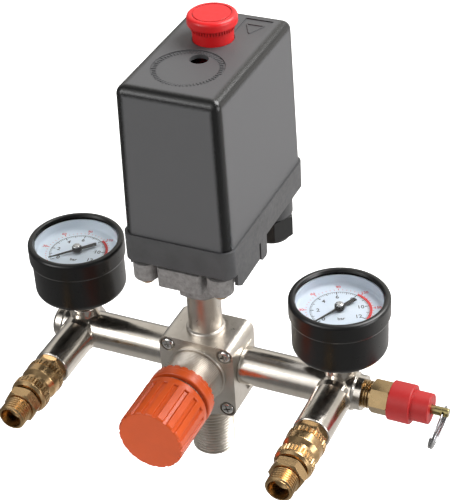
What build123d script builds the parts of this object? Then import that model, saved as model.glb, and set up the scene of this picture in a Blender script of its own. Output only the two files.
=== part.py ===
from build123d import *
from math import cos, pi, sin
import os

# Pressure switch with a manifold, a regulator, two gauges, two couplers and a safety valve.
# Millimetres, +Z up, -Y is the front, +X runs along the manifold to the safety valve.
# The origin is the centre of the end face of the tank thread.

# Manifold
TANK_MAJOR_R = 10.48
TANK_MINOR_R = 9.32
TANK_PITCH = 1.814
BLOCK_HALF_X = 19.0
BLOCK_Y = 12.46
BLOCK_BOTTOM = 30.4
BLOCK_TOP = 70.8
CORNER_R = 4.5
CORNER_X = 14.5
CORNER_LOW_Z = 34.9
CORNER_HIGH_Z = 66.3
SEAM_Y = 1.65
SHELF_HALF_X = 9.8
TUBE_Z = 53.9
TUBE_R = 9.2
OUTLET_X = 66.5
OUTLET_R = 8.86
OUTLET_END = -35.0
NECK_R = 8.03
NECK_TOP = 95.5
SUPPLY_Y = 6.6
G14_MAJOR_R = 6.58
G14_MINOR_R = 5.72
G14_PITCH = 1.337
G14_HOLE_R = 6.62
HIDDEN_THREAD_R = 6.3
TUBE_LEFT = -81.0
TUBE_RIGHT = 79.4

# Regulator
REG_Z = 53.0
SPIGOT_R = 13.5
SPIGOT_MINOR_R = 12.85
SPIGOT_END = -45.5
KNOB_R = 16.0
KNOB_REAR = -36.8
KNOB_FRONT = -63.7
LOCK_REAR = -27.5
LOCK_FRONT = -34.2

# Gauges
GAUGE_X = 66.9
GAUGE_Y = 1.8
BEZEL_R = 23.1
BEZEL_TOP = 105.2
BEZEL_SEAM = 96.0
CASE_R = 22.0
CASE_BOTTOM = 77.1
DIAL_TOP = 97.0
RIGHT_DIAL_UP = 27.1
LEFT_DIAL_UP = 11.0
DIAL_SWEEP = 251.4

# Safety valve
SAFETY_CAP_R = 9.26
SAFETY_STEM_R = 2.13
RING_X = 117.0
RING_R = 10.1
RING_LEAN = 12.0

# Switch
BASE_HALF_X = 26.7
BASE_FRONT = -23.9
BASE_REAR = 62.0
BASE_BOTTOM = 119.4
SEAM_Z = 134.5
COVER_HALF_X = 25.8
COVER_FRONT = -23.0
COVER_REAR = 61.1
COVER_TOP = 208.0
COVER_TAPER = 1.3
RECESS_DEPTH = 0.5
KNOB_X = -1.9
KNOB_Y = 31.7
ADJUST_Y = 12.6
FLANGE_BOSS = 18.3
GLAND_X = 15.0
GLAND_Y = 47.5


def outline(points):
    """A face in the XZ plane; a third number rounds that corner."""
    corners = [(p[0], p[1]) for p in points]
    radii = [p[2] if len(p) > 2 else 0 for p in points]
    if any(radii):
        wire = FilletPolyline(*corners, radius=radii, close=True)
    else:
        wire = Polyline(*corners, close=True)
    return make_face(Plane.XZ * wire)


def lathe(points, arc=360):
    """A turned solid about Z from (radius, height) points."""
    return revolve(outline(points), Axis.Z, revolution_arc=arc)


def tube(outer, inner, low, high):
    """A plain ring about Z."""
    return lathe([(inner, low), (outer, low), (outer, high), (inner, high)])


def rod(radius, low, high):
    """A plain cylinder about Z."""
    return Pos(0, 0, low) * Cylinder(radius, high - low, align=(Align.CENTER, Align.CENTER, Align.MIN))


def slab(x0, x1, y0, y1, z0, z1):
    """A box between two corners."""
    middle = Pos((x0 + x1) / 2, (y0 + y1) / 2, (z0 + z1) / 2)
    return middle * Box(x1 - x0, y1 - y0, z1 - z0)


def prism(points, low, high):
    """A polygon in XY drawn up Z."""
    return Pos(0, 0, low) * extrude(make_face(Polyline(*points, close=True)), high - low)


def hexagon(across_flats, low, high, chamfer_width=0.0, turn=0.0):
    """A hexagon bar about Z with turned chamfers at both ends."""
    bar = Pos(0, 0, low) * extrude(RegularPolygon(across_flats / 2, 6, major_radius=False), high - low)
    bar = Rot(0, 0, turn) * bar
    if chamfer_width:
        corner = across_flats / 2 / cos(pi / 6) + 0.02
        flat = corner - 2 * chamfer_width
        drop = chamfer_width
        turned = [(0, low), (flat, low), (corner, low + drop), (corner, high - drop), (flat, high), (0, high)]
        bar = bar & lathe(turned)
    return bar


def knurl(radius, depth, teeth, low, high):
    """A straight knurled ring about Z."""
    points = []
    for i in range(teeth):
        for part, r in ((0, radius - depth), (0.3, radius), (0.7, radius)):
            angle = 2 * pi * (i + part) / teeth
            points.append((r * cos(angle), r * sin(angle)))
    return prism(points, low, high)


def ridges(major, minor, pitch, start, end):
    """Profile points of ring ridges that stand in for a screw thread."""
    points = []
    count = int((end - start) / pitch)
    for i in range(count):
        z = start + i * pitch
        points.append((minor, z))
        points.append((major, z + 0.34 * pitch))
        points.append((major, z + 0.56 * pitch))
        points.append((minor, z + 0.9 * pitch))
    points.append((minor, end))
    return points


def spring(coil_r, wire_r, low, high, turns):
    """A helical spring about Z."""
    path = Helix(pitch=(high - low - 2 * wire_r) / turns, height=high - low - 2 * wire_r, radius=coil_r)
    start = Plane(origin=path @ 0, z_dir=path % 0)
    coil = sweep(start * Circle(wire_r), path=path, is_frenet=True)
    return Pos(0, 0, low + wire_r) * coil


def along(origin, direction, x_dir):
    """Location that sends +Z to a direction at an origin."""
    return Plane(origin=origin, x_dir=x_dir, z_dir=direction).location


def cross_recess(width, depth, top):
    """A cross slot cut down from a height."""
    arm = width / 5
    bars = slab(-width / 2, width / 2, -arm / 2, arm / 2, top - depth, top + 1)
    return bars + slab(-arm / 2, arm / 2, -width / 2, width / 2, top - depth, top + 1)


def pan_screw(head_r, head_h, shank_r, length):
    """A cross recess screw with its head above z 0 and its shank below."""
    head = lathe([(0, 0), (head_r, 0), (head_r, head_h, head_h * 0.6), (0, head_h)])
    body = head + rod(shank_r, -length, 0.1)
    return body - cross_recess(head_r * 1.2, head_h * 0.75, head_h)


def rounded_plate(half_x, front, rear, radius, low, high):
    """A plate with four rounded upright edges."""
    middle = Pos(0, (front + rear) / 2, low)
    return middle * extrude(RectangleRounded(2 * half_x, rear - front, radius), high - low)


front = along((0, 0, REG_Z), (0, -1, 0), (1, 0, 0))


def block_plate(rear, face):
    """The block outline with rounded long edges, drawn along Y."""
    mid_z = (BLOCK_BOTTOM + BLOCK_TOP) / 2
    face_plane = Plane(origin=(0, rear, mid_z), x_dir=(1, 0, 0), z_dir=(0, -1, 0))
    shape = RectangleRounded(2 * BLOCK_HALF_X, BLOCK_TOP - BLOCK_BOTTOM, CORNER_R)
    return extrude(face_plane * shape, rear - face)


CORNERS = [(x, z) for x in (-CORNER_X, CORNER_X) for z in (CORNER_LOW_Z, CORNER_HIGH_Z)]


def outlet(side):
    """Location of one outlet: its +Z runs out along -Y from the outlet face."""
    return along((side * OUTLET_X, OUTLET_END, TUBE_Z), (0, -1, 0), (1, 0, 0))


def shelves(gap):
    """Top and bottom shelves of the rear block that the bonnet leaves open."""
    edge = SHELF_HALF_X + gap
    top = slab(-edge, edge, -BLOCK_Y - gap, SEAM_Y + 0.5, 67.6 - gap, BLOCK_TOP + gap)
    return top + slab(-edge, edge, -BLOCK_Y - gap, SEAM_Y + 0.5, BLOCK_BOTTOM - gap, 36.0 + gap)


def make_manifold():
    rear = block_plate(BLOCK_Y, SEAM_Y)
    body = rear + shelves(0)
    arms = []
    for side in (-1, 1):
        end = TUBE_RIGHT if side > 0 else -TUBE_LEFT
        arm = lathe([(0, 19.2), (TUBE_R, 19.2), (TUBE_R, 75.0, 1.2), (8.3, 76.2),
                     (8.3, end, 2.2 if side < 0 else 0),
                     (0, end)])
        arm = along((0, 0, TUBE_Z), (side, 0, 0), (0, 1, 0)) * arm
        arms.append(arm)
        arms.append(slab(*sorted((side * 15, side * 19.5)), SEAM_Y + 0.3, 9.0, TUBE_Z - 8.6, TUBE_Z + 8.6))
        web = prism([(side * 18.5, 36.0), (side * 18.5, 47.0), (side * 24.6, 47.0)], -4.0, 4.0)
        web = Plane(origin=(0, 6.0, 0), x_dir=(1, 0, 0), z_dir=(0, -1, 0)).location * web
        arms.append(web)
        # Outlet arm towards the front, with a rounded rear end on the tube.
        stub = lathe([(0, -12.0), (6.0, -12.0, 2.0), (OUTLET_R + 0.6, -6.0, 3.0), (OUTLET_R + 0.6, 7.0, 1.0),
                      (OUTLET_R, 9.5), (OUTLET_R, -OUTLET_END, 0.8), (0, -OUTLET_END)])
        arms.append(along((side * OUTLET_X, 0, TUBE_Z), (0, -1, 0), (1, 0, 0)) * stub)
        boss = lathe([(0, 55), (7.6, 55), (7.6, 67.2, 0.6), (0, 67.2)])
        arms.append(Pos(side * GAUGE_X, GAUGE_Y, 0) * boss)
    for arm in arms:
        body = body + arm
    neck = lathe([(0, BLOCK_TOP - 2), (9.3, BLOCK_TOP - 2), (9.3, BLOCK_TOP + 2.0, 0.8),
                  (NECK_R, BLOCK_TOP + 2.6),
                  (NECK_R, NECK_TOP), (0, NECK_TOP)])
    neck_thread = lathe([(0, NECK_TOP - 0.5), (G14_MINOR_R, NECK_TOP - 0.5)]
                        + ridges(G14_MAJOR_R, G14_MINOR_R, G14_PITCH, NECK_TOP + 0.2, 103.9) + [(0, 103.9)])
    tank = lathe([(0, 0), (TANK_MAJOR_R, 0), (TANK_MAJOR_R, 0.35), (TANK_MINOR_R, 0.85)]
                 + ridges(TANK_MAJOR_R, TANK_MINOR_R, TANK_PITCH, 0.9, 26.0)
                 + [(10.7, 26.3), (10.7, BLOCK_BOTTOM), (9.0, BLOCK_BOTTOM), (9.0, BLOCK_BOTTOM + 1),
                    (0, BLOCK_BOTTOM + 1)])
    body = body + neck + neck_thread + tank
    # Air ways: tank bore, supply riser, neck bore, tubes, side ways and outlets.
    cuts = [rod(7.0, -1, 33.0), Pos(0, SUPPLY_Y, 0) * rod(2.8, 31.0, 70.2), rod(4.6, 69.0, 110)]
    for side in (-1, 1):
        inner = TUBE_RIGHT + 1 if side > 0 else 74.0
        bore = along((0, 0, TUBE_Z), (side, 0, 0), (0, 1, 0)) * rod(5.0, 24.0, inner)
        way_y = 5.5 if side > 0 else 4.2
        way_from = 1.0 if side > 0 else 7.0
        way = along((0, way_y, TUBE_Z), (side, 0, 0), (0, 1, 0)) * rod(1.5, way_from, 25.0)
        stub_bore = along((side * OUTLET_X, 0, TUBE_Z), (0, -1, 0), (1, 0, 0))
        cuts += [bore, way, stub_bore * rod(4.4, 0, 36)]
        cuts.append(stub_bore * rod(HIDDEN_THREAD_R + 0.04, -OUTLET_END - 9.5, 36))
        cuts.append(Pos(side * GAUGE_X, GAUGE_Y, 0) * rod(1.6, TUBE_Z, 64))
        cuts.append(Pos(side * GAUGE_X, GAUGE_Y, 0) * rod(4.9, 60.5, 70))
    cuts.append(along((0, 0, TUBE_Z), (1, 0, 0), (0, 1, 0)) * rod(G14_HOLE_R, 70.0, 81))
    # Diaphragm recess, chamber and the valve bore.
    cuts.append(front * rod(12.2, -SEAM_Y - 0.8, 0))
    cuts.append(front * rod(10.5, -SEAM_Y - 1.2, 0))
    cuts.append(front * rod(4.2, -11.4, 0))
    for x, z in CORNERS:
        cuts.append(along((x, 0, z), (0, -1, 0), (1, 0, 0)) * rod(1.55, -9.0, 0))
    keep_top = shelves(0)
    for cut in cuts:
        body = body - cut
    return body + (keep_top - front * rod(12.3, -3, 14) - rod(7.0, 0, 33.0) - rod(4.6, 69.0, 80))


def make_bonnet():
    plate = block_plate(SEAM_Y, -BLOCK_Y) - shelves(0.05)
    spigot = lathe([(0, 0), (14.6, 0), (14.6, 13.7, 0.4), (SPIGOT_MINOR_R, 13.9)]
                   + ridges(SPIGOT_R, SPIGOT_MINOR_R, 1.0, 14.0, -SPIGOT_END) + [(0, -SPIGOT_END)])
    body = plate + front * spigot
    body = body - front * rod(11.0, -3, 50)
    for x, z in CORNERS:
        seat = along((x, -BLOCK_Y, z), (0, -1, 0), (1, 0, 0))
        body = body - seat * rod(3.9, -1.6, 2) - seat * rod(1.7, -20, 2)
    return body


def make_manifold_and_regulator(parts):
    parts["manifold_body"] = make_manifold()
    parts["regulator_bonnet"] = make_bonnet()
    screws = []
    for x, z in CORNERS:
        seat = along((x, -BLOCK_Y + 1.6, z), (0, -1, 0), (1, 0, 0))
        screws.append(seat * Rot(0, 0, 20) * pan_screw(3.2, 2.2, 1.5, 19.0))
    parts["bonnet_screws"] = screws
    parts["regulator_diaphragm"] = front * rod(12.15, -SEAM_Y - 0.78, -SEAM_Y - 0.02)
    parts["diaphragm_plate"] = front * (rod(8.6, -SEAM_Y + 0.02, 1.4) + rod(5.2, 1.3, 4.5))
    parts["regulator_spring"] = front * spring(7.0, 1.2, 1.5, 41.4, 9)
    parts["spring_seat"] = front * (rod(9.6, 41.5, 44.0) + rod(5.2, 38.5, 41.6) + rod(4.0, 43.9, 57.9))
    parts["valve_seat"] = front * (tube(4.19, 1.5, -4.3, -SEAM_Y - 1.2))
    head = lathe([(0, -6.0), (3.0, -6.0), (3.0, -4.7), (2.4, -4.35), (0, -4.35)])
    parts["valve_poppet"] = front * (head + rod(0.9, -4.5, -SEAM_Y - 0.82) + rod(1.4, -8.4, -5.9))
    parts["valve_spring"] = front * spring(2.4, 0.3, -11.35, -6.05, 5)
    # The knob: a fluted cap with a smooth rear rim and a slightly lobed front.
    flutes = 18
    points = []
    for i in range(flutes):
        for part, r in ((0.0, KNOB_R - 1.0), (0.08, KNOB_R), (0.62, KNOB_R), (0.7, KNOB_R - 1.0)):
            angle = 2 * pi * (i + part) / flutes
            points.append((r * cos(angle), r * sin(angle)))
    length = KNOB_REAR - KNOB_FRONT
    grip = prism(points, 3.2, length)
    trim = lathe([(0, 0), (KNOB_R + 0.02, 0), (KNOB_R + 0.02, length, 1.4), (0, length)])
    rim = lathe([(0, 0), (KNOB_R, 0, 0.4), (KNOB_R, 3.6, 0.8), (0, 3.6)])
    knob = (grip & trim) + rim - rod(13.85, -1, 21.2)
    seat = along((0, KNOB_REAR, REG_Z), (0, -1, 0), (1, 0, 0))
    parts["regulator_knob"] = seat * knob
    notches = 24
    width = LOCK_REAR - LOCK_FRONT
    ring = lathe([(13.6, 0), (15.7, 0, 0.3), (15.7, 2.4), (16.0, 2.8), (16.0, width, 0.9), (13.6, width)])
    for i in range(notches):
        ring = ring - Rot(0, 0, i * 360 / notches) * slab(14.9, 17, -0.8, 0.8, -1, 1.0)
    parts["lock_ring"] = along((0, LOCK_REAR, REG_Z), (0, -1, 0), (1, 0, 0)) * ring


def make_gauge(parts, side, name, dial_up):
    place = Pos(side * GAUGE_X, GAUGE_Y, 0)
    case = lathe([(4.3, CASE_BOTTOM), (CASE_R, CASE_BOTTOM, 3.4), (CASE_R, BEZEL_SEAM), (21.5, BEZEL_SEAM),
                  (21.5, BEZEL_SEAM + 4.0), (20.4, BEZEL_SEAM + 4.0), (20.4, 79.6, 2.4), (4.3, 79.6)])
    parts[name + "_case"] = place * case
    bezel = lathe([(21.55, BEZEL_SEAM), (BEZEL_R - 0.3, BEZEL_SEAM), (BEZEL_R, BEZEL_SEAM + 0.8, 0.3),
                   (BEZEL_R, BEZEL_TOP, 1.6), (20.5, BEZEL_TOP, 0.6), (19.8, 103.8), (21.55, 103.8)])
    parts[name + "_bezel"] = place * bezel
    parts[name + "_lens"] = place * rod(21.45, 102.2, 103.75)
    # The dial is a shallow cup whose wall rises to the lens.
    dial = lathe([(1.0, DIAL_TOP - 0.8), (20.3, DIAL_TOP - 0.8), (20.3, 102.1), (19.8, 102.1),
                  (19.8, DIAL_TOP, 1.2), (1.0, DIAL_TOP)])
    parts[name + "_dial"] = place * dial
    # Needle drawn along +Y, then turned to the zero of the scale.
    blade = prism([(-0.6, 0), (-0.2, 14.4), (0.2, 14.4), (0.6, 0)], 98.2, 98.7)
    tail = prism([(-0.7, 0), (-1.05, -9.6), (1.05, -9.6), (0.7, 0)], 98.2, 98.7)
    hub = lathe([(0, 97.6), (2.0, 97.6), (2.3, 98.0), (2.3, 100.3, 0.6), (0, 100.3)])
    needle = blade + tail + hub + rod(0.6, 90.5, 97.7)
    zero = dial_up + DIAL_SWEEP / 2
    parts[name + "_needle"] = place * Rot(0, 0, zero) * needle
    stem = hexagon(14.0, 69.0, 75.4, 0.5) + rod(5.6, 75.3, CASE_BOTTOM - 0.02)
    stem = stem + rod(6.3, 67.25, 69.1) + rod(4.2, CASE_BOTTOM - 0.1, 80.0)
    stem = stem + lathe([(0, 61), (3.9, 61)] + ridges(4.86, 4.2, 1.0, 61.2, 67.3) + [(0, 67.3)])
    stem = stem + slab(-4, 4, -16.4, -10.2, 80.0, 88.5) + slab(-3, 3, -12, 4, 80.0, 82.5)
    stem = stem - rod(1.2, 60, 79)
    parts[name + "_socket"] = place * Rot(0, 0, dial_up) * stem
    section = Plane.XZ * Pos(13.4, 86.2) * Ellipse(1.3, 3.2)
    bourdon = revolve(section, Axis.Z, revolution_arc=250)
    parts[name + "_bourdon_tube"] = place * Rot(0, 0, dial_up - 90) * bourdon


def make_coupler(parts, side, name):
    place = outlet(side)
    body = lathe([(4.3, -9.3), (G14_MINOR_R, -9.3)]
                 + ridges(HIDDEN_THREAD_R, G14_MINOR_R, G14_PITCH, -9.2, -0.1)
                 + [(G14_MINOR_R, 0), (5.7, 0), (5.7, 19.6, 0.4), (4.3, 19.6)])
    body = body + (hexagon(13.4, 0, 4.2, 0.3) - rod(5.0, -1, 5))
    for i in range(6):
        hole = Rot(0, 0, 60 * i) * along((0, 0, 15.5), (1, 0, 0), (0, 1, 0)) * rod(0.9, 3.5, 6.5)
        body = body - hole
    parts[name + "_coupler_body"] = place * body
    outer = [(6.95, 4.5), (8.2, 4.5), (8.4, 7.4), (8.9, 7.7), (8.9, 12.2, 1.2), (8.2, 13.4), (7.5, 14.6),
             (7.5, 16.2), (8.4, 17.4), (8.4, 20.6), (8.9, 20.9), (8.9, 22.0, 0.4), (8.0, 23.3), (6.9, 23.3),
             (6.9, 17.4), (5.85, 17.4), (5.85, 13.6), (6.95, 13.6)]
    sleeve = lathe(outer) - rod(7.85, 4.0, 6.7)
    sleeve = sleeve + (knurl(9.15, 0.55, 34, 4.7, 7.6) - rod(8.1, 4, 8))
    sleeve = sleeve + (knurl(9.15, 0.55, 34, 17.5, 20.8) - rod(8.0, 17, 21))
    parts[name + "_coupler_sleeve"] = place * sleeve
    parts[name + "_coupler_spring"] = place * spring(6.3, 0.5, 4.6, 13.55, 5)
    balls = []
    for i in range(6):
        balls.append(place * Rot(0, 0, 60 * i) * Pos(4.95, 0, 15.5) * Sphere(0.82))
    parts[name + "_coupler_balls"] = balls
    plug = lathe([(2.8, 7.0), (3.7, 7.0), (4.2, 7.8), (4.2, 14.2), (4.05, 14.5), (4.05, 16.5), (4.2, 16.8),
                  (4.2, 20.0), (6.4, 20.0), (6.4, 25.0), (2.8, 25.0)])
    plug = plug + (hexagon(15.0, 24.6, 30.0, 0.8) - rod(2.8, 24, 31))
    tip = 38.3
    plug = plug + lathe([(2.8, 29.8), (G14_MINOR_R, 29.8)]
                        + ridges(G14_MAJOR_R, G14_MINOR_R, G14_PITCH, 30.1, tip)
                        + [(5.1, tip), (5.1, 31.5), (2.8, 30.2)])
    parts[name + "_outlet_nipple"] = place * plug


def make_safety_valve(parts):
    place = along((0, 0, TUBE_Z), (1, 0, 0), (0, 1, 0))
    body = lathe([(0, 70.4), (G14_MINOR_R, 70.4)] + ridges(G14_MAJOR_R, G14_MINOR_R, G14_PITCH, 70.6, 83.5)
                 + [(0, 83.6)])
    body = body + hexagon(14.0, 83.5, 92.4, 0.5) + rod(6.5, 92.3, 100.9)
    parts["safety_body"] = place * (body - rod(2.6, 70, 86) - rod(5.0, 84.5, 101))
    cap = lathe([(0, 92.5), (SAFETY_CAP_R, 92.5, 0.4), (SAFETY_CAP_R, 103.0, 0.7), (7.16, 103.0),
                 (7.16, 111.4, 0.5),
                 (0, 111.4)])
    cap = cap - rod(6.55, 92, 101.1) - rod(5.2, 101, 109.2) - rod(2.35, 108, 112)
    parts["safety_cap"] = place * cap
    stem = lathe([(0, 103.9), (SAFETY_STEM_R, 103.9), (SAFETY_STEM_R, 119.65, 0.5), (0, 119.65)])
    stem = rod(1.6, 86.6, 104) + stem
    hole = along((RING_X, 0, 0), (0, 1, 0), (1, 0, 0)) * rod(1.4, -4, 4)
    parts["safety_stem"] = place * stem - Pos(0, 0, TUBE_Z) * hole
    disc = lathe([(0, 84.6), (4.2, 84.6), (4.2, 86.0), (4.7, 86.0), (4.7, 88.4), (1.6, 88.4), (1.6, 86.6),
                  (0, 86.6)])
    parts["safety_disc"] = place * disc
    parts["safety_spring"] = place * spring(3.3, 0.6, 88.5, 109.1, 8)
    lean = pi * RING_LEAN / 180
    middle = (RING_X - RING_R * sin(lean), 0, TUBE_Z - RING_R * cos(lean))
    hang = along(middle, (cos(lean), 0, -sin(lean)), (sin(lean), 0, cos(lean)))
    ring = hang * Rot(0, 0, 81) * spring(RING_R, 0.55, -1.42, 1.42, 1.55)
    parts["pull_ring"] = ring


def make_switch_base(parts):
    # Grey cast diaphragm housing: hexagon, chamber and a four boss flange.
    body = hexagon(22.0, NECK_TOP + 0.05, 106.5, 0.8)
    boss_top = BASE_BOTTOM - 0.4
    body = body + lathe([(0, 106), (11.5, 106), (17.5, 110.0, 1.0), (17.5, boss_top), (0, boss_top)])
    boss = lathe([(0, 110.0), (6.0, 110.0, 0.6), (6.0, boss_top), (0, boss_top)])
    for x in (-FLANGE_BOSS, FLANGE_BOSS):
        for y in (-FLANGE_BOSS, FLANGE_BOSS):
            body = body + Pos(x, y, 0) * boss
    body = body + rounded_plate(11.0, -23.5, 23.5, 2.0, 108.9, boss_top)
    body = body + rounded_plate(22.0, -14, 14, 2.0, 111, boss_top)
    body = body - rod(G14_HOLE_R, 95, 104.5) - rod(2.5, 104, 113.5)
    body = body - rod(12.0, 113.0, 116.0) - rod(15.0, 114.2, 121)
    for x in (-FLANGE_BOSS, FLANGE_BOSS):
        for y in (-FLANGE_BOSS, FLANGE_BOSS):
            body = body - Pos(x, y, 0) * rod(2.2, 105, 121)
    parts["diaphragm_housing"] = body
    screws = []
    for x in (-FLANGE_BOSS, FLANGE_BOSS):
        for y in (-FLANGE_BOSS, FLANGE_BOSS):
            head = Rot(180, 0, 0) * pan_screw(3.6, 3.2, 2.0, 16.0)
            screws.append(Pos(x, y, 109.95) * head)
    parts["housing_screws"] = screws
    parts["switch_diaphragm"] = rod(14.9, 114.25, 115.2)
    parts["switch_plunger"] = rod(11.0, 115.3, 117.6) + rod(3.6, 117.5, 128.9)

    # Base tray with side skirts, tabs and gland bosses.
    base = rounded_plate(BASE_HALF_X, BASE_FRONT, BASE_REAR, 5.0, BASE_BOTTOM, SEAM_Z - 0.1)
    base = chamfer(base.edges().group_by(Axis.Z)[0], 1.2)
    base = base - rounded_plate(24.4, -21.6, 59.7, 3.0, 121.8, SEAM_Z + 1) - rod(15.3, 118, 123)
    for x in (-FLANGE_BOSS, FLANGE_BOSS):
        for y in (-FLANGE_BOSS, FLANGE_BOSS):
            base = base - Pos(x, y, 0) * rod(2.3, 118, 123)
    for side in (-1, 1):
        x0, x1 = sorted((side * 25.1, side * 26.7))
        skirt = prism([(-17.7, 121), (-17.7, 114.4), (-13.6, 111.8), (6.7, 112.4), (6.7, 121)], 0, x1 - x0)
        base = base + Plane(origin=(x0, 0, 0), x_dir=(0, 1, 0), z_dir=(1, 0, 0)).location * skirt
        outline_yz = [(8.4, 121), (8.4, 111.0), (9.6, 110.0), (14.0, 109.6), (15.2, 111.0), (15.2, 121)]
        tab = prism(outline_yz, 0, x1 - x0)
        base = base + Plane(origin=(x0, 0, 0), x_dir=(0, 1, 0), z_dir=(1, 0, 0)).location * tab
        gland = Pos(side * GLAND_X, GLAND_Y, 0)
        base = base + gland * tube(10.4, 8.3, 111.0, 121.8)
        base = base - gland * rod(8.3, 110, 124)
    parts["switch_base"] = base
    nuts = []
    seals = []
    for side in (-1, 1):
        gland = Pos(side * GLAND_X, GLAND_Y, 0)
        nut = hexagon(19.0, 99.0, 110.0, 0.5) + rod(9.4, 109.9, 110.9)
        nut = nut + lathe([(0, 97.0), (8.6, 97.0, 1.2), (9.4, 99.1), (0, 99.1)])
        nut = nut + lathe([(0, 110.8), (7.5, 110.8)] + ridges(8.2, 7.5, 1.5, 111.0, 119.0) + [(0, 119.0)])
        nuts.append(gland * (nut - rod(4.5, 92, 120) - rod(7.0, 101.0, 108.6)))
        seals.append(gland * tube(6.95, 4.2, 101.05, 108.5))
    parts["gland_nuts"] = nuts
    parts["gland_seals"] = seals


def make_cover(parts):
    middle = (COVER_FRONT + COVER_REAR) / 2
    depth = COVER_REAR - COVER_FRONT
    height = COVER_TOP - SEAM_Z
    footprint = RectangleRounded(2 * COVER_HALF_X, depth, 5.0)
    shell = Pos(0, middle, SEAM_Z) * extrude(footprint, height, taper=COVER_TAPER)
    shell = fillet(shell.edges().group_by(Axis.Z)[-1], 4.3)
    inner = Pos(0, middle, SEAM_Z - 1) * extrude(
        RectangleRounded(2 * COVER_HALF_X - 4.4, depth - 4.4, 3.0), height - 1.4, taper=COVER_TAPER)
    shell = shell - inner
    shell = shell - Pos(KNOB_X, KNOB_Y, 0) * rod(9.5, 200, 210)
    shell = shell - Pos(0, ADJUST_Y, 0) * rod(4.18, 200, 210)
    shell = shell - Pos(-1.0, 3.3, 0) * rod(16.2, COVER_TOP - RECESS_DEPTH, 210)
    shell = shell - slab(4.4, 17.6, 39.0, 53.7, COVER_TOP - RECESS_DEPTH, 210)
    parts["switch_cover"] = shell


def make_mechanism(parts):
    # Steel frame: floor plate, two legs, a bridge for the adjusting screw and two pivot ears.
    frame = slab(-21.5, 21.5, -21.0, 27.0, 123.0, 125.0)
    frame = frame - rod(5.0, 122, 126)
    for x in (-FLANGE_BOSS, FLANGE_BOSS):
        for y in (-FLANGE_BOSS, FLANGE_BOSS):
            frame = frame - Pos(x, y, 0) * rod(2.25, 122, 126)
    for side in (-1, 1):
        leg = slab(*sorted((side * 14.5, side * 16.0)), 4.0, 22.0, 124.9, 167.0)
        ear = slab(*sorted((side * 12.6, side * 14.1)), -17.5, -9.5, 124.9, 133.4)
        frame = frame + leg + ear
    frame = frame + slab(-16.0, 16.0, 4.0, 22.0, 165.2, 167.0)
    frame = frame - Pos(0, ADJUST_Y, 0) * rod(3.15, 160, 170)
    pivot = along((-14.1, -13.5, 130.5), (1, 0, 0), (0, 1, 0)) * rod(1.5, 0, 28.2)
    parts["switch_frame"] = frame + pivot
    lever = slab(-11.8, 11.8, -11.0, 26.0, 129.4, 131.0) + slab(-3.0, 3.0, 25.9, 31.0, 129.4, 131.0)
    eye = along((-11.8, -13.5, 130.5), (1, 0, 0), (0, 1, 0)) * rod(3.0, 0, 23.6)
    lever = lever + eye + Pos(0, ADJUST_Y, 0) * rod(5.0, 130.9, 132.4)
    lever = lever - along((-13, -13.5, 130.5), (1, 0, 0), (0, 1, 0)) * rod(1.56, 0, 26)
    parts["pressure_lever"] = lever
    parts["range_spring"] = Pos(0, ADJUST_Y, 0) * spring(6.7, 1.15, 131.1, 157.9, 7)
    nut = hexagon(15.0, 158.0, 161.0, 0.4) - rod(3.05, 157, 162)
    nut = nut + tube(5.2, 3.05, 155.6, 158.1)
    parts["range_nut"] = Pos(0, ADJUST_Y, 0) * nut
    screw = rod(3.0, 150.0, 167.05) + hexagon(8.0, 167.05, 171.0, 0.4) + rod(2.6, 170.9, 196.0)
    screw = screw - slab(-3, 3, -0.5, 0.5, 194.0, 197)
    parts["adjusting_screw"] = Pos(0, ADJUST_Y, 0) * screw
    block = slab(-20.0, 20.0, 34.0, 57.5, 121.9, 138.0) + slab(-20.0, 20.0, 41.6, 57.5, 137.9, 143.0)
    for i in range(5):
        x = -16.0 + 8.0 * i
        block = block + slab(x - 0.7, x + 0.7, 50.0, 57.5, 142.9, 148.0)
    for side in (-1, 1):
        block = block + slab(*sorted((side * 12.2, side * 14.4)), 42.0, 48.0, 142.9, 153.5)
        block = block - along((side * 11.0, 45.0, 151.0), (side, 0, 0), (0, 1, 0)) * rod(1.3, 0, 5)
        block = block - Pos(side * GLAND_X, GLAND_Y, 0) * rod(8.6, 121, 127)
    parts["contact_block"] = block
    rocker = slab(-11.6, 11.6, 25.0, 45.0, 150.0, 152.0) + slab(-9.0, 9.0, 25.0, 27.0, 147.0, 150.1)
    rocker = rocker + along((-14.2, 45.0, 151.0), (1, 0, 0), (0, 1, 0)) * rod(1.22, 0, 28.4)
    parts["contact_lever"] = rocker
    screws = []
    for i in range(4):
        x = -12.0 + 8.0 * i
        screws.append(Pos(x, 53.4, 143.02) * pan_screw(2.4, 1.8, 1.25, 0.01))
    parts["terminal_screws"] = screws
    knob = lathe([(0, 215.6), (11.28, 215.6, 0.5), (11.28, 220.1, 1.7), (0, 220.1)])
    knob = knob + rod(9.23, 196.0, 215.8)
    for i in range(48):
        knob = knob + Rot(0, 0, 7.5 * i) * slab(9.0, 9.85, -0.3, 0.3, 213.2, 215.7)
    knob = knob - (lathe([(8.3, 219.7), (8.9, 219.7), (8.9, 221), (8.3, 221)]))
    knob = knob + rod(2.5, 154.7, 196.1) + Pos(0, 0, 154.7) * Sphere(2.5)
    parts["on_off_knob"] = Pos(KNOB_X, KNOB_Y, 0) * knob


parts = {}
make_manifold_and_regulator(parts)
make_gauge(parts, -1, "left_gauge", LEFT_DIAL_UP)
make_gauge(parts, 1, "right_gauge", RIGHT_DIAL_UP)
make_coupler(parts, -1, "left")
make_coupler(parts, 1, "right")
make_safety_valve(parts)
make_switch_base(parts)
make_cover(parts)
make_mechanism(parts)

os.makedirs("parts", exist_ok=True)
for name, shape in parts.items():
    if isinstance(shape, list):
        shape = Compound(children=shape)
    export_step(shape, f"parts/{name}.step")
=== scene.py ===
from math import cos, pi, radians, sin

import bmesh
import bpy
from mathutils import Matrix, Vector


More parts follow.
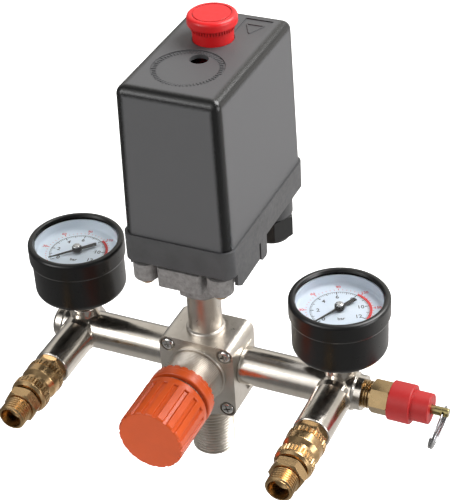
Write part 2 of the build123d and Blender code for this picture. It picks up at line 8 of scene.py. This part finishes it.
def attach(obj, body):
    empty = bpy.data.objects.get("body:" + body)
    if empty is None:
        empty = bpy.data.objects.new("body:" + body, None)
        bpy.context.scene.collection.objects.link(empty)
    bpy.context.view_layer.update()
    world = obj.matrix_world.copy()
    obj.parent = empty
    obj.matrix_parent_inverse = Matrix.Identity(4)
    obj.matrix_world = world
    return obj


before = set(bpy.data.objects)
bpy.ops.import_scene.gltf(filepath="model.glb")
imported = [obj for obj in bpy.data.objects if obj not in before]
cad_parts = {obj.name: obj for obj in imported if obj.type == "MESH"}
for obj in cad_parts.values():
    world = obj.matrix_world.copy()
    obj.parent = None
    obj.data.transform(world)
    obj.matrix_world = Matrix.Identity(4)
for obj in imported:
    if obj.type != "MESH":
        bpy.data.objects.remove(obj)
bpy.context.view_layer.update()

MM = 0.001

# Gauge faces. Angles are in degrees; mark ends, text radii and text sizes are in millimetres
# from the gauge's axis, and a unit's negative radius puts it below the axis.
GAUGE_X = 66.9 * MM
GAUGE_Y = 1.8 * MM
DIAL_TOP = 97.0 * MM
DIAL_UP = {"left": 11.0, "right": 27.1}
DIAL_SWEEP = 251.4
DIAL_MAX_BAR = 12
RED_FROM_BAR = 8
PSI_PER_BAR = 14.504
MARK_THICKNESS = 0.06 * MM
BAR_MARK_END = 13.4
PSI_MARK_START = 14.8
BAR_NUMBERS = (9.7, 3.3)
PSI_NUMBERS = (17.2, 2.3)
BAR_UNIT = (-6.4, 2.6)
PSI_UNIT = (-15.0, 2.2)
HUB_CAP_PROFILE = ((1.9, 100.2), (1.9, 100.5), (1.75, 100.75), (1.3, 100.95), (0.7, 101.05))
HUB_CAP_SIDES = 48

# Switch cover, the shallow recess in its top, and the marks that stand in the recess.
COVER_TOP = 208.0 * MM
COVER_CENTRE = (0.0, 19.05 * MM, 171.25 * MM)
COVER_HALF = (25.8 * MM, 42.05 * MM, 36.75 * MM)
COVER_TAPER = 0.0227
RECESS_DEPTH = 0.5 * MM
MARK_HEIGHT = 0.4 * MM
MARK_SINK = 0.05 * MM
DISC_CENTRE = Vector((-1.0 * MM, 3.3 * MM))
TRIANGLE_MM = ((6.7, 48.9), (15.2, 49.0), (11.2, 40.8))


# --- shader helpers ---------------------------------------------------------------------------

class Shader:
    """One node material and short ways to add nodes to it."""

    def __init__(self, name, color, roughness, metallic=0.0):
        self.mat = bpy.data.materials.new(name)
        self.mat.use_nodes = True
        self.mat.diffuse_color = (*color, 1)
        self.nodes = self.mat.node_tree.nodes
        self.links = self.mat.node_tree.links
        self.bsdf = self.nodes["Principled BSDF"]
        self.set("Base Color", (*color, 1))
        self.set("Roughness", roughness)
        self.set("Metallic", metallic)
        self.coord = self.nodes.new("ShaderNodeTexCoord").outputs["Object"]
        self.normal = None

    def set(self, socket, value):
        self.bsdf.inputs[socket].default_value = value

    def link(self, output, socket):
        self.links.new(output, self.bsdf.inputs[socket])

    def stretched(self, sx, sy, sz):
        node = self.nodes.new("ShaderNodeMapping")
        node.inputs["Scale"].default_value = (sx, sy, sz)
        self.links.new(self.coord, node.inputs["Vector"])
        return node.outputs["Vector"]

    def noise(self, scale, detail=3.0, rough=0.5, vector=None, distortion=0.0):
        node = self.nodes.new("ShaderNodeTexNoise")
        node.inputs["Scale"].default_value = scale
        node.inputs["Detail"].default_value = detail
        node.inputs["Roughness"].default_value = rough
        node.inputs["Distortion"].default_value = distortion
        self.links.new(vector or self.coord, node.inputs["Vector"])
        return node.outputs["Fac"]

    def cells(self, scale, vector=None):
        node = self.nodes.new("ShaderNodeTexVoronoi")
        node.inputs["Scale"].default_value = scale
        self.links.new(vector or self.coord, node.inputs["Vector"])
        return node.outputs["Distance"]

    def ramp(self, fac, stops):
        node = self.nodes.new("ShaderNodeValToRGB")
        ramp = node.color_ramp
        while len(ramp.elements) < len(stops):
            ramp.elements.new(0.5)
        for element, (position, color) in zip(ramp.elements, stops):
            element.position = position
            element.color = (*color, 1)
        self.links.new(fac, node.inputs["Fac"])
        return node.outputs["Color"]

    def span(self, fac, low, high, from_low=0.3, from_high=0.7):
        node = self.nodes.new("ShaderNodeMapRange")
        node.inputs["From Min"].default_value = from_low
        node.inputs["From Max"].default_value = from_high
        node.inputs["To Min"].default_value = low
        node.inputs["To Max"].default_value = high
        self.links.new(fac, node.inputs["Value"])
        return node.outputs["Result"]

    def bump(self, height, distance, strength=1.0):
        node = self.nodes.new("ShaderNodeBump")
        node.inputs["Strength"].default_value = strength
        node.inputs["Distance"].default_value = distance
        self.links.new(height, node.inputs["Height"])
        if self.normal:
            self.links.new(self.normal, node.inputs["Normal"])
        self.normal = node.outputs["Normal"]
        self.link(self.normal, "Normal")

    def math(self, operation, a, b):
        node = self.nodes.new("ShaderNodeMath")
        node.operation = operation
        for socket, value in zip(node.inputs, (a, b)):
            if isinstance(value, float):
                socket.default_value = value
            else:
                self.links.new(value, socket)
        return node.outputs["Value"]

    def sum_of(self, a, b):
        return self.math("ADD", a, b)

    def edge_distance(self, centre, half, taper):
        """Distance along the surface of a box, slightly tapered upwards, to its nearest edge."""
        split = self.nodes.new("ShaderNodeSeparateXYZ")
        self.links.new(self.coord, split.inputs["Vector"])
        inset = self.math("MULTIPLY", self.sum_of(split.outputs["Z"], half[2] - centre[2]), taper)
        gaps = []
        for axis, middle, reach in zip("XY", centre, half):
            offset = self.math("ABSOLUTE", self.sum_of(split.outputs[axis], -middle), 0.0)
            gaps.append(self.math("SUBTRACT", self.math("SUBTRACT", reach, offset), inset))
        top = self.math("SUBTRACT", centre[2] + half[2], split.outputs["Z"])
        low = self.math("MINIMUM", *gaps)
        high = self.math("MAXIMUM", *gaps)
        return self.math("MAXIMUM", low, self.math("MINIMUM", high, top))

    def round_edges(self, radius):
        node = self.nodes.new("ShaderNodeBevel")
        node.samples = 4
        node.inputs["Radius"].default_value = radius
        self.normal = node.outputs["Normal"]
        self.link(self.normal, "Normal")


def nickel(name, wave=0.00003, cast_half=0.0):
    """Plated metal; within cast_half of the middle in X it keeps the rougher skin of the casting."""
    s = Shader(name, (0.66, 0.61, 0.55), 0.2, 1.0)
    s.round_edges(0.0001)
    s.bump(s.noise(160, 2.0), wave)
    gloss = s.span(s.noise(420, 5.0, 0.6), 0.14, 0.26)
    if cast_half:
        split = s.nodes.new("ShaderNodeSeparateXYZ")
        s.links.new(s.coord, split.inputs["Vector"])
        away = s.math("ABSOLUTE", split.outputs["X"], 0.0)
        cast = s.span(away, 1.0, 0.0, cast_half, cast_half + 0.0008)
        s.bump(s.math("MULTIPLY", s.noise(1100, 4.0, 0.65), cast), 0.00014)
        gloss = s.sum_of(gloss, s.math("MULTIPLY", cast, 0.13))
    else:
        s.bump(s.noise(2600, 3.0), 0.000006)
    s.link(gloss, "Roughness")
    tint = s.ramp(s.noise(90, 3.0), [(0.3, (0.58, 0.535, 0.475)), (0.7, (0.70, 0.655, 0.60))])
    s.link(tint, "Base Color")
    return s.mat


def brass(name, axis, color=(0.54, 0.36, 0.18)):
    """Turned brass: fine tool marks round the axis, faint tarnish, smooth gloss."""
    s = Shader(name, color, 0.25, 1.0)
    s.round_edges(0.00008)
    scale = [30, 30, 30]
    scale[axis] = 3500
    s.bump(s.noise(1.0, 2.0, vector=s.stretched(*scale)), 0.000006)
    s.link(s.span(s.noise(240, 3.0, 0.5), 0.20, 0.32), "Roughness")
    dark = tuple(c * 0.86 for c in color)
    light = tuple(min(1, c * 1.08) for c in color)
    s.link(s.ramp(s.noise(110, 3.0, 0.5), [(0.3, dark), (0.7, light)]), "Base Color")
    return s.mat


def steel(name, color=(0.60, 0.60, 0.60), low=0.18, high=0.34):
    s = Shader(name, color, 0.25, 1.0)
    s.round_edges(0.00015)
    s.bump(s.noise(3200, 3.0), 0.000006)
    s.link(s.span(s.noise(700, 5.0, 0.6), low, high), "Roughness")
    dark = tuple(c * 0.8 for c in color)
    s.link(s.ramp(s.noise(300, 4.0), [(0.3, dark), (0.65, color)]), "Base Color")
    return s.mat


def moulded(name, color, rough, grain, depth, variation, flow=0.00003):
    """Injection moulded plastic: fine grain, faint flow marks, slightly varied gloss."""
    s = Shader(name, color, rough[0])
    s.round_edges(0.0004)
    s.bump(s.noise(grain, 2.0, 0.6), depth)
    s.bump(s.noise(140, 2.0), flow)
    s.link(s.span(s.noise(500, 4.0, 0.6), rough[0], rough[1]), "Roughness")
    dark = tuple(c * (1 - variation) for c in color)
    light = tuple(min(1, c * (1 + variation)) for c in color)
    s.link(s.ramp(s.noise(110, 4.0), [(0.3, dark), (0.7, light)]), "Base Color")
    return s.mat


def cover_plastic(name):
    """Moulded cover: fine matt texture on the flat faces, smoother on the rounded edges, with painted
    shade making the rounded edges near black.
    """
    s = Shader(name, (0.04, 0.04, 0.04), 0.45)
    s.bump(s.noise(2300, 3.0, 0.6), 0.00006)
    s.bump(s.noise(45, 2.0), 0.00012)
    edge = s.edge_distance(COVER_CENTRE, COVER_HALF, COVER_TAPER)
    grain_edge = s.sum_of(edge, s.span(s.noise(2500, 3.0, 0.6), -0.0006, 0.0006))
    edge_gloss_and_shade_mask = s.span(grain_edge, 0.0, 1.0, 0.0030, 0.0046)
    # The near-black base on the rounded edges is painted shade for their dark reflections; the lower
    # roughness there is the real smoother finish.
    s.link(s.ramp(edge_gloss_and_shade_mask, [(0.0, (0.006, 0.006, 0.006)), (1.0, (0.074, 0.074, 0.077))]), "Base Color")
    s.link(s.span(edge_gloss_and_shade_mask, 0.26, 0.52, 0.0, 1.0), "Roughness")
    return s.mat


def casting(name):
    """Grey painted die casting with a coarse sandy skin."""
    s = Shader(name, (0.17, 0.16, 0.16), 0.7, 0.15)
    s.round_edges(0.0005)
    s.bump(s.noise(900, 4.0, 0.7), 0.00018)
    s.bump(s.cells(1500), 0.00006)
    s.link(s.span(s.noise(500, 4.0), 0.6, 0.85), "Roughness")
    tone = s.ramp(s.noise(380, 5.0, 0.7), [(0.25, (0.11, 0.105, 0.10)), (0.75, (0.25, 0.24, 0.235))])
    s.link(tone, "Base Color")
    return s.mat


def rubber(name):
    s = Shader(name, (0.012, 0.012, 0.012), 0.7)
    s.bump(s.noise(1800, 3.0), 0.00003)
    s.link(s.span(s.noise(600, 3.0), 0.6, 0.85), "Roughness")
    return s.mat


def dial_paint(name, low, high):
    s = Shader(name, high, 0.45)
    s.bump(s.noise(3000, 2.0), 0.000004)
    s.link(s.ramp(s.noise(70, 3.0), [(0.25, low), (0.75, high)]), "Base Color")
    s.link(s.span(s.noise(900, 3.0), 0.38, 0.5), "Roughness")
    return s.mat


def ink(name, color):
    s = Shader(name, color, 0.5)
    s.link(s.span(s.noise(4000, 3.0), 0.4, 0.6), "Roughness")
    light = tuple(min(1, c * 1.3 + 0.01) for c in color)
    s.link(s.ramp(s.noise(2500, 3.0), [(0.35, color), (0.8, light)]), "Base Color")
    return s.mat


def lens(name):
    s = Shader(name, (1, 1, 1), 0.02)
    s.set("IOR", 1.15)
    s.set("Transmission Weight", 1.0)
    s.link(s.span(s.noise(300, 3.0), 0.01, 0.04), "Roughness")
    return s.mat


def paint_cad(node, material):
    """Gives a carried-over CAD node its finished material."""
    for place in bpy.data.objects[node].material_slots:
        place.link = "OBJECT"
        place.material = material


NICKEL = nickel("nickel_plate", cast_half=19.3 * MM)
NICKEL_CAST = nickel("nickel_cast", cast_half=100 * MM)
NICKEL_FINE = nickel("nickel_turned", 0.00001)
BRASS_Y = brass("brass_turned_y", 1)
BRASS_X = brass("brass_turned_x", 0, (0.44, 0.31, 0.16))
BRASS_OLIVE = brass("brass_stem", 0, (0.36, 0.30, 0.14))
STEEL = steel("steel_bright")
CHROME = steel("steel_screw", (0.72, 0.70, 0.68), 0.06, 0.16)
SPRING = steel("steel_spring", (0.42, 0.42, 0.43))
YELLOW_ZINC = steel("zinc_yellow", (0.55, 0.44, 0.24), 0.22, 0.4)
ZINC = steel("zinc_plain", (0.52, 0.53, 0.54), 0.25, 0.4)
ORANGE = moulded("orange_plastic", (0.50, 0.062, 0.003), (0.30, 0.42), 1900, 0.00001, 0.06)
RED = moulded("red_plastic", (0.58, 0.006, 0.008), (0.30, 0.42), 2600, 0.000008, 0.06)
RED_METAL = moulded("red_anodised", (0.35, 0.005, 0.005), (0.42, 0.55), 2600, 0.00001, 0.07)
CHARCOAL = cover_plastic("charcoal_plastic")
BLACK = moulded("black_plastic", (0.010, 0.010, 0.011), (0.30, 0.42), 2100, 0.00004, 0.15)
BASE_BLACK = moulded("base_plastic", (0.050, 0.050, 0.052), (0.42, 0.56), 2100, 0.00006, 0.12)
GLAND_BLACK = moulded("gland_plastic", (0.005, 0.005, 0.005), (0.36, 0.48), 2400, 0.00002, 0.15)
GAUGE_BLACK = moulded("gauge_black", (0.003, 0.003, 0.003), (0.27, 0.34), 1800, 0.000004, 0.15, 0.000004)
CASTING = casting("grey_casting")
RUBBER = rubber("rubber_black")
DIAL_RIGHT = dial_paint("dial_white_right", (0.54, 0.61, 0.69), (0.61, 0.67, 0.74))
# Both dials are one white paint; the left one is lighter and bluer as a painted reflection washing it out.
DIAL_LEFT_PAINTED_GLARE = dial_paint("dial_white_left_painted_glare", (0.72, 0.81, 0.89), (0.80, 0.88, 0.96))
INK_BLACK = ink("ink_black", (0.012, 0.012, 0.014))
INK_RED = ink("ink_red", (0.62, 0.03, 0.03))
LENS = lens("clear_lens")

for nodes, material in (
    (("manifold_body",), NICKEL),
    (("regulator_bonnet",), NICKEL_CAST),
    (("left_gauge_socket", "right_gauge_socket"), NICKEL_FINE),
    (("bonnet_screws",), CHROME),
    (("diaphragm_plate", "spring_seat", "switch_plunger"), STEEL),
    (("pull_ring", "regulator_spring", "valve_spring", "left_coupler_spring", "right_coupler_spring",
      "safety_spring", "range_spring", "left_coupler_balls", "right_coupler_balls"), SPRING),
    (("regulator_diaphragm", "switch_diaphragm", "gland_seals", "safety_disc"), RUBBER),
    (("valve_seat", "valve_poppet", "left_coupler_body", "right_coupler_body", "left_coupler_sleeve",
      "right_coupler_sleeve", "left_outlet_nipple", "right_outlet_nipple", "left_gauge_bourdon_tube",
      "right_gauge_bourdon_tube"), BRASS_Y),
    (("safety_body",), BRASS_X),
    (("safety_stem",), BRASS_OLIVE),
    (("regulator_knob", "lock_ring"), ORANGE),
    (("left_gauge_case", "right_gauge_case", "left_gauge_bezel", "right_gauge_bezel", "left_gauge_needle",
      "right_gauge_needle"), GAUGE_BLACK),
    (("left_gauge_lens", "right_gauge_lens"), LENS),
    (("left_gauge_dial",), DIAL_LEFT_PAINTED_GLARE),
    (("right_gauge_dial",), DIAL_RIGHT),
    (("safety_cap",), RED_METAL),
    (("diaphragm_housing",), CASTING),
    (("housing_screws", "terminal_screws", "adjusting_screw", "range_nut"), YELLOW_ZINC),
    (("pressure_lever", "switch_frame"), ZINC),
    (("switch_cover",), CHARCOAL),
    (("switch_base",), BASE_BLACK),
    (("gland_nuts",), GLAND_BLACK),
    (("contact_block", "contact_lever"), BLACK),
    (("on_off_knob",), RED),
):
    for node in nodes:
        paint_cad(node, material)


# --- gauge faces ------------------------------------------------------------------------------

def add_piece(name, mesh, materials, body):
    """Adds a visible piece that moves with a CAD body and takes the given materials."""
    obj = bpy.data.objects.new(name, mesh)
    bpy.context.scene.collection.objects.link(obj)
    for material in materials:
        obj.data.materials.append(material)
    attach(obj, body)


def ring_strip(bm, centre, inner, outer, start, end, low, high, index):
    """A flat arc with a small height; angles in degrees, counter-clockwise from +Y."""
    steps = max(1, int(abs(end - start) / 2))
    loops = []
    for i in range(steps + 1):
        angle = radians(start + (end - start) * i / steps)
        out = Vector((-sin(angle), cos(angle), 0))
        loops.append([bm.verts.new(centre + out * r + Vector((0, 0, z)))
                      for r, z in ((inner, low), (outer, low), (outer, high), (inner, high))])
    for a, b in zip(loops, loops[1:]):
        for k in range(4):
            face = bm.faces.new((a[k], b[k], b[(k + 1) % 4], a[(k + 1) % 4]))
            face.material_index = index
    for loop in (loops[0], loops[-1]):
        face = bm.faces.new(loop)
        face.material_index = index


def dial_marks(side, sign):
    """The two scales: bar in black inside, psi in red outside, and the red arc between them."""
    bm = bmesh.new()
    centre = Vector((sign * GAUGE_X, GAUGE_Y, 0))
    low, high = DIAL_TOP, DIAL_TOP + MARK_THICKNESS
    zero = DIAL_UP[side] + DIAL_SWEEP / 2
    per_bar = DIAL_SWEEP / DIAL_MAX_BAR

    def mark(value_bar, inner, outer, width, index):
        angle = zero - value_bar * per_bar
        half = (width / ((inner + outer) / 2)) * 90 / pi
        ring_strip(bm, centre, inner * MM, outer * MM, angle - half, angle + half, low, high, index)

    for i in range(DIAL_MAX_BAR * 5 + 1):
        bar = i / 5
        if i % 10 == 0:
            mark(bar, 11.6, BAR_MARK_END, 0.42, 0)
        elif i % 5 == 0:
            mark(bar, 12.0, BAR_MARK_END, 0.32, 0)
        else:
            mark(bar, 12.5, BAR_MARK_END, 0.18, 0)
    for psi in range(0, 171, 5):
        long = psi % 30 == 0
        mark(psi / PSI_PER_BAR, PSI_MARK_START, 16.1 if long else 15.5, 0.34 if long else 0.18, 1)
    ring_strip(bm, centre, 13.35 * MM, 13.5 * MM, zero, zero - DIAL_SWEEP, low, high, 0)
    red_from = zero - RED_FROM_BAR * per_bar
    ring_strip(bm, centre, 13.55 * MM, 14.7 * MM, red_from, zero - DIAL_SWEEP, low, high, 1)
    bmesh.ops.recalc_face_normals(bm, faces=bm.faces)
    mesh = bpy.data.meshes.new(side + "_dial_marks")
    bm.to_mesh(mesh)
    bm.free()
    add_piece(side + "_dial_marks", mesh, (INK_BLACK, INK_RED), "manifold")


def dial_text(side, sign, text, label, value_bar, radius, size, material):
    """Upright text at a value on the scale; with no value, on the dial's centre line, minus is below."""
    curve = bpy.data.curves.new(side + "_dial_" + label, "FONT")
    curve.body = text
    curve.size = size * MM
    curve.align_x = "CENTER"
    curve.align_y = "CENTER"
    curve.extrude = 0.02 * MM
    curve.offset = 0.04 * MM
    curve.resolution_u = 3
    obj = bpy.data.objects.new(side + "_dial_" + label, curve)
    bpy.context.scene.collection.objects.link(obj)
    up = radians(DIAL_UP[side])
    if value_bar is None:
        angle = up + (pi if radius < 0 else 0)
        radius = abs(radius)
    else:
        angle = radians(DIAL_UP[side] + DIAL_SWEEP / 2 - value_bar * DIAL_SWEEP / DIAL_MAX_BAR)
    place = Vector((sign * GAUGE_X - sin(angle) * radius * MM, GAUGE_Y + cos(angle) * radius * MM,
                    DIAL_TOP + 0.03 * MM))
    obj.matrix_world = Matrix.Translation(place) @ Matrix.Rotation(up, 4, "Z")
    bpy.context.view_layer.update()
    mesh = bpy.data.meshes.new_from_object(obj)
    mesh.transform(obj.matrix_world)
    bpy.data.objects.remove(obj)
    mesh.materials.clear()
    add_piece(side + "_dial_" + label, mesh, (material,), "manifold")


def hub_cap(side, sign):
    """A bright domed cap on the needle hub."""
    bm = bmesh.new()
    rings = []
    for r, z in HUB_CAP_PROFILE:
        ring = []
        for i in range(HUB_CAP_SIDES):
            angle = 2 * pi * i / HUB_CAP_SIDES
            x = sign * GAUGE_X + r * cos(angle) * MM
            y = GAUGE_Y + r * sin(angle) * MM
            ring.append(bm.verts.new((x, y, z * MM)))
        rings.append(ring)
    for low, high in zip(rings, rings[1:]):
        for i in range(HUB_CAP_SIDES):
            after = (i + 1) % HUB_CAP_SIDES
            bm.faces.new((low[i], low[after], high[after], high[i])).smooth = True
    bm.faces.new(rings[0])
    bm.faces.new(rings[-1])
    bmesh.ops.recalc_face_normals(bm, faces=bm.faces)
    mesh = bpy.data.meshes.new(side + "_hub_cap")
    bm.to_mesh(mesh)
    bm.free()
    add_piece(side + "_hub_cap", mesh, (STEEL,), side + "_needle")


for side, sign in (("left", -1), ("right", 1)):
    hub_cap(side, sign)
    dial_marks(side, sign)
    for bar in range(0, DIAL_MAX_BAR + 1, 2):
        dial_text(side, sign, str(bar), "bar_%d" % bar, bar, *BAR_NUMBERS, INK_BLACK)
    for psi in range(30, 151, 30):
        dial_text(side, sign, str(psi), "psi_%d" % psi, psi / PSI_PER_BAR, *PSI_NUMBERS, INK_RED)
    dial_text(side, sign, "bar", "unit_bar", None, *BAR_UNIT, INK_BLACK)
    dial_text(side, sign, "psi", "unit_psi", None, *PSI_UNIT, INK_RED)


# --- raised marks on the cover top ------------------------------------------------------------

def add_bar(bm, a, b, width, low, high):
    """A straight raised bar between two plan points, with a narrower top."""
    a, b = Vector((*a, 0)), Vector((*b, 0))
    run = (b - a).normalized()
    across = Vector((-run.y, run.x, 0))
    rings = []
    for z, half, back in ((low, width / 2, 0.0), (high, width / 2 * 0.7, width * 0.15)):
        ring = []
        for end, sign in ((a + run * back, 1), (b - run * back, -1)):
            for turn in (1, -1):
                ring.append(bm.verts.new(end + across * half * turn * sign + Vector((0, 0, z))))
        rings.append(ring)
    bm.faces.new(rings[0])
    bm.faces.new(rings[1])
    for k in range(4):
        bm.faces.new((rings[0][k], rings[0][(k + 1) % 4], rings[1][(k + 1) % 4], rings[1][k]))


def raised_marks(name, bars, width):
    """Raised bars standing on the floor of the cover's shallow recess."""
    bm = bmesh.new()
    low = COVER_TOP - RECESS_DEPTH - MARK_SINK
    high = COVER_TOP - RECESS_DEPTH + MARK_HEIGHT
    for a, b in bars:
        add_bar(bm, a, b, width, low, high)
    bmesh.ops.recalc_face_normals(bm, faces=bm.faces)
    mesh = bpy.data.meshes.new(name)
    bm.to_mesh(mesh)
    bm.free()
    add_piece(name, mesh, (CHARCOAL,), "manifold")


def ring_of_bars(count, inner, outer):
    """Radial bars about the cover disc, radii in millimetres; every third one is longer."""
    bars = []
    for i in range(count):
        angle = 2 * pi * i / count
        out = Vector((cos(angle), sin(angle)))
        reach = outer - (0.5 if i % 3 else 0.0)
        bars.append((DISC_CENTRE + out * inner * MM, DISC_CENTRE + out * reach * MM))
    return bars


raised_marks("cover_ring_marks", ring_of_bars(60, 13.6, 15.8), 0.6 * MM)
triangle = [Vector((x * MM, y * MM)) for x, y in TRIANGLE_MM]
raised_marks("cover_triangle", list(zip(triangle, triangle[1:] + triangle[:1])), 0.7 * MM)


# --- stage, camera and lights -----------------------------------------------------------------

def floor_material():
    s = Shader("floor_white", (0.9, 0.9, 0.9), 0.9)
    s.set("Emission Color", (1, 1, 1, 1))
    s.set("Emission Strength", 0.75)
    s.set("Specular IOR Level", 0.0)
    s.bump(s.noise(40, 2.0), 0.0001)
    return s.mat


bm = bmesh.new()
bmesh.ops.create_grid(bm, x_segments=8, y_segments=8, size=6.0)
mesh = bpy.data.meshes.new("floor")
bm.to_mesh(mesh)
bm.free()
floor = bpy.data.objects.new("floor", mesh)
floor.location = (0, 0, -0.35)
floor.data.materials.append(floor_material())
bpy.context.scene.collection.objects.link(floor)
floor.visible_glossy = False

AZIMUTH = radians(26.17)
ELEVATION = radians(35.12)
ROLL = radians(3.74)
CAMERA_POSITION = Vector((0.2737, -0.5308, 0.5347))
CAMERA_LENS = 127.72
right0 = Vector((cos(AZIMUTH), sin(AZIMUTH), 0))
back = Vector((sin(AZIMUTH) * cos(ELEVATION), -cos(AZIMUTH) * cos(ELEVATION), sin(ELEVATION)))
up0 = back.cross(right0)
right = cos(ROLL) * right0 - sin(ROLL) * up0
up = sin(ROLL) * right0 + cos(ROLL) * up0
camera = bpy.data.objects.new("camera", bpy.data.cameras.new("camera"))
camera.matrix_world = Matrix.Translation(CAMERA_POSITION) @ Matrix((right, up, back)).transposed().to_4x4()
camera.data.sensor_fit = "HORIZONTAL"
camera.data.sensor_width = 36.0
camera.data.lens = CAMERA_LENS
camera.data.clip_end = 50
bpy.context.scene.collection.objects.link(camera)
bpy.context.scene.camera = camera


def area_light(name, location, target, size, power):
    light = bpy.data.lights.new(name, "AREA")
    light.energy = power
    light.size = size
    obj = bpy.data.objects.new(name, light)
    obj.location = location
    direction = Vector(target) - Vector(location)
    obj.rotation_euler = direction.to_track_quat("-Z", "Y").to_euler()
    bpy.context.scene.collection.objects.link(obj)


KEY_POWER = 22
FILL_POWER = 5
SIDE_POWER = 6
area_light("key", (0.55, 0.45, 1.1), (0, 0, 0.1), 0.8, KEY_POWER)
area_light("front_left", (-0.75, -0.95, 0.75), (0, 0, 0.08), 0.6, FILL_POWER)
area_light("right", (1.2, -0.1, 0.35), (0, 0, 0.1), 0.6, SIDE_POWER)

# A soft studio as sky lobes: direction, half width in degrees, soft edge in degrees, level.
SKY_BASE = 0.18
SKY_LOBES = (
    ((-0.36, -0.735, 0.573), 4, 34, (1.15, 1.15, 1.13)),
    ((-0.36, 0.734, 0.575), 18, 30, (0.62, 0.60, 0.56)),
    ((0.40, 0.80, 0.40), 18, 30, (0.55, 0.54, 0.50)),
    ((0.45, 0.75, -0.50), 22, 34, (0.62, 0.60, 0.58)),
    ((1.0, -0.1, -0.1), 12, 24, (0.50, 0.50, 0.50)),
    ((0.0, 0.0, -1.0), 30, 30, (0.30, 0.29, 0.27)),
)

world = bpy.data.worlds.new("studio")
world.use_nodes = True
bpy.context.scene.world = world
wn, wl = world.node_tree.nodes, world.node_tree.links
coords = wn.new("ShaderNodeTexCoord").outputs["Generated"]


def sky_lobe(total, direction, inner, soft, level):
    """Adds one soft round patch of light to the sky."""
    dot = wn.new("ShaderNodeVectorMath")
    dot.operation = "DOT_PRODUCT"
    wl.new(coords, dot.inputs[0])
    dot.inputs[1].default_value = Vector(direction).normalized()
    fade = wn.new("ShaderNodeMapRange")
    fade.interpolation_type = "SMOOTHSTEP"
    fade.inputs["From Min"].default_value = cos(radians(inner + soft))
    fade.inputs["From Max"].default_value = cos(radians(inner))
    wl.new(dot.outputs["Value"], fade.inputs["Value"])
    part = wn.new("ShaderNodeVectorMath")
    part.operation = "MULTIPLY_ADD"
    part.inputs[1].default_value = level
    wl.new(fade.outputs["Result"], part.inputs[0])
    if total:
        wl.new(total, part.inputs[2])
    else:
        part.inputs[2].default_value = (SKY_BASE, SKY_BASE, SKY_BASE)
    return part.outputs["Vector"]


sky = None
for lobe in SKY_LOBES:
    sky = sky_lobe(sky, *lobe)
wl.new(sky, wn["Background"].inputs["Color"])

bpy.context.scene.view_settings.view_transform = "Standard"
bpy.context.scene.view_settings.exposure = 0.0
